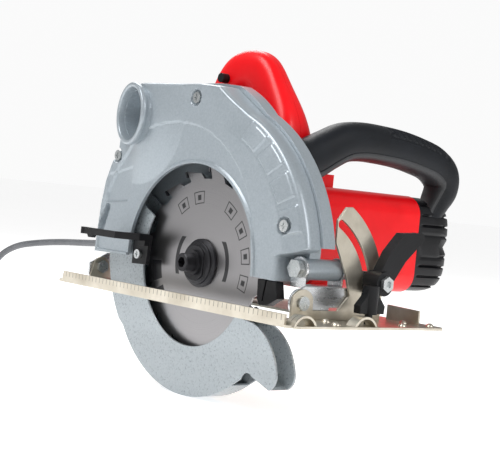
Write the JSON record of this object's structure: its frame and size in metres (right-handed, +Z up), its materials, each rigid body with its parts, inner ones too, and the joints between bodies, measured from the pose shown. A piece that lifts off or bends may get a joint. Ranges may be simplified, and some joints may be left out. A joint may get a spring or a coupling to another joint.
{
  "type": "circular saw",
  "caption": "Hand-held circular saw with a swinging blade guard, a depth hinge and a tilting pressed base plate, D-handle and loop handle, geared motor and mains lead.",
  "frame": {"origin": "under the middle of the saw's box, level with the lowest point of the swinging guard", "axes": "+X the way the saw cuts, +Y from the blade towards the motor, +Z up"},
  "size_m": [0.7375, 0.2925, 0.2925],
  "materials": {
    "silver_paint": "semi-gloss silver-grey paint on die-cast metal",
    "gear_case_cast": "cast aluminium",
    "red_plastic": "glossy red moulded plastic",
    "black_plastic": "matte black moulded plastic",
    "soft_grip": "soft black rubber",
    "grey_plastic": "dark grey plastic",
    "trigger_plastic": "black plastic",
    "zinc_sheet": "zinc-plated pressed sheet steel",
    "zinc_fastener": "bright zinc-plated steel",
    "blade_steel": "ground saw steel",
    "carbide": "sintered carbide",
    "black_oxide": "black-oxide steel",
    "machined_steel": "machined steel",
    "laminations": "varnished electrical steel",
    "copper": "enamelled copper",
    "carbon": "sintered carbon",
    "cord_rubber": "dark grey rubber sheath"
  },
  "bodies": {
    "saw_body": {"guard_cover": "silver_paint", "guard_housing": "silver_paint", "cover_screws": "zinc_fastener", "front_insert": "black_plastic", "guard_spring": "machined_steel", "gear_case": "gear_case_cast", "spindle_bearings": "machined_steel", "armature_bearings": "machined_steel", "stator": "laminations", "brush_holders": "black_plastic", "carbon_brushes": "carbon", "motor_housing": "red_plastic", "motor_end_cap": "black_plastic", "handle_left": "red_plastic", "handle_right": "red_plastic", "handle_grip": "soft_grip", "switch_unit": "black_plastic", "auxiliary_handle": "soft_grip", "handle_underside": "grey_plastic", "strain_relief": "soft_grip", "cord_tube": "cord_rubber", "cord_coil": "cord_rubber", "cord_tie": "cord_rubber", "mains_plug": "cord_rubber", "depth_clamp_bolt": "zinc_fastener"},
    "spindle_unit": {"blade": "blade_steel", "carbide_tips": "carbide", "spindle": "machined_steel", "inner_flange": "black_oxide", "outer_flange": "black_oxide", "arbor_bolt": "black_oxide", "spindle_gear": "machined_steel"},
    "armature": {"armature_shaft": "machined_steel", "armature_core": "laminations", "armature_winding": "copper", "commutator": "copper", "cooling_fan": "black_plastic"},
    "swinging_guard": {"lower_guard": "silver_paint", "guard_lever": "black_plastic", "lever_screw": "zinc_fastener"},
    "trigger": {"trigger": "trigger_plastic"},
    "lock_off": {"lock_off_button": "trigger_plastic"},
    "spindle_lock": {"spindle_lock_button": "trigger_plastic"},
    "carrier": {"hinge_bracket": "zinc_sheet", "carrier_plate": "zinc_sheet", "depth_hinge_bolt": "zinc_fastener", "depth_hinge_nut": "zinc_fastener", "bevel_clamp_bolt": "zinc_fastener", "rear_pivot_bracket": "zinc_sheet", "depth_arc": "zinc_sheet"},
    "bevel_clamp": {"bevel_clamp_lever": "black_plastic"},
    "depth_clamp": {"depth_clamp_lever": "black_plastic"},
    "base": {"base_plate": "zinc_sheet", "bevel_quadrant": "zinc_sheet", "rear_base_ear": "zinc_sheet", "bevel_rivet": "zinc_fastener", "rear_pivot_bolt": "zinc_fastener", "plate_rivets": "zinc_fastener"},
    "fence_screw": {"fence_wing_screw": "black_plastic"}
  },
  "joints": [
    {"name": "armature_spin", "type": "hinge", "parent": "saw_body", "child": "armature", "pos_m": [0.0085, 0.007, 0.13705], "axis": [0, 1, 0], "continuous": true},
    {"name": "spindle_spin", "type": "hinge", "parent": "saw_body", "child": "spindle_unit", "pos_m": [-0.01, -0.073, 0.109], "axis": [0, 1, 0], "continuous": true},
    {"name": "guard_swing", "type": "hinge", "parent": "saw_body", "child": "swinging_guard", "pos_m": [-0.01, -0.083, 0.109], "axis": [0, 1, 0], "range_deg": [0, 115], "stiffness_Nm_per_rad": 0.14, "springref_deg": -68.75},
    {"name": "trigger_pull", "type": "slide", "parent": "saw_body", "child": "trigger", "axis": [-0.8865, 0, 0.4627], "range_m": [0, 0.005], "stiffness_N_per_m": 900, "springref_m": -0.002},
    {"name": "lock_off_press", "type": "slide", "parent": "saw_body", "child": "lock_off", "axis": [0, 1, 0], "range_m": [0, 0.003], "stiffness_N_per_m": 700, "springref_m": -0.001},
    {"name": "spindle_lock_press", "type": "slide", "parent": "saw_body", "child": "spindle_lock", "axis": [1, 0, 0], "range_m": [0, 0.0022], "stiffness_N_per_m": 900, "springref_m": -0.001},
    {"name": "depth_swing", "type": "hinge", "parent": "saw_body", "child": "carrier", "pos_m": [0.108, -0.075, 0.117], "axis": [0, -1, 0], "range_deg": [0, 26]},
    {"name": "bevel_tilt", "type": "hinge", "parent": "carrier", "child": "base", "pos_m": [-0.01, -0.1, 0.092], "axis": [-1, 0, 0], "range_deg": [0, 45]},
    {"name": "bevel_clamp_turn", "type": "hinge", "parent": "carrier", "child": "bevel_clamp", "pos_m": [0.13, -0.03303, 0.11057], "axis": [1, 0, 0], "range_deg": [0, 60]},
    {"name": "depth_clamp_turn", "type": "hinge", "parent": "saw_body", "child": "depth_clamp", "pos_m": [-0.12094, -0.065, 0.13905], "axis": [0, 1, 0], "range_deg": [0, 60]},
    {"name": "fence_screw_turn", "type": "hinge", "parent": "base", "child": "fence_screw", "pos_m": [0.14, -0.049, 0.089], "axis": [0, 0, 1], "range_deg": [0, 270]}
  ],
  "couplings": [
    {"joint": "spindle_spin", "follows": "armature_spin", "ratio": -0.27273}
  ]
}
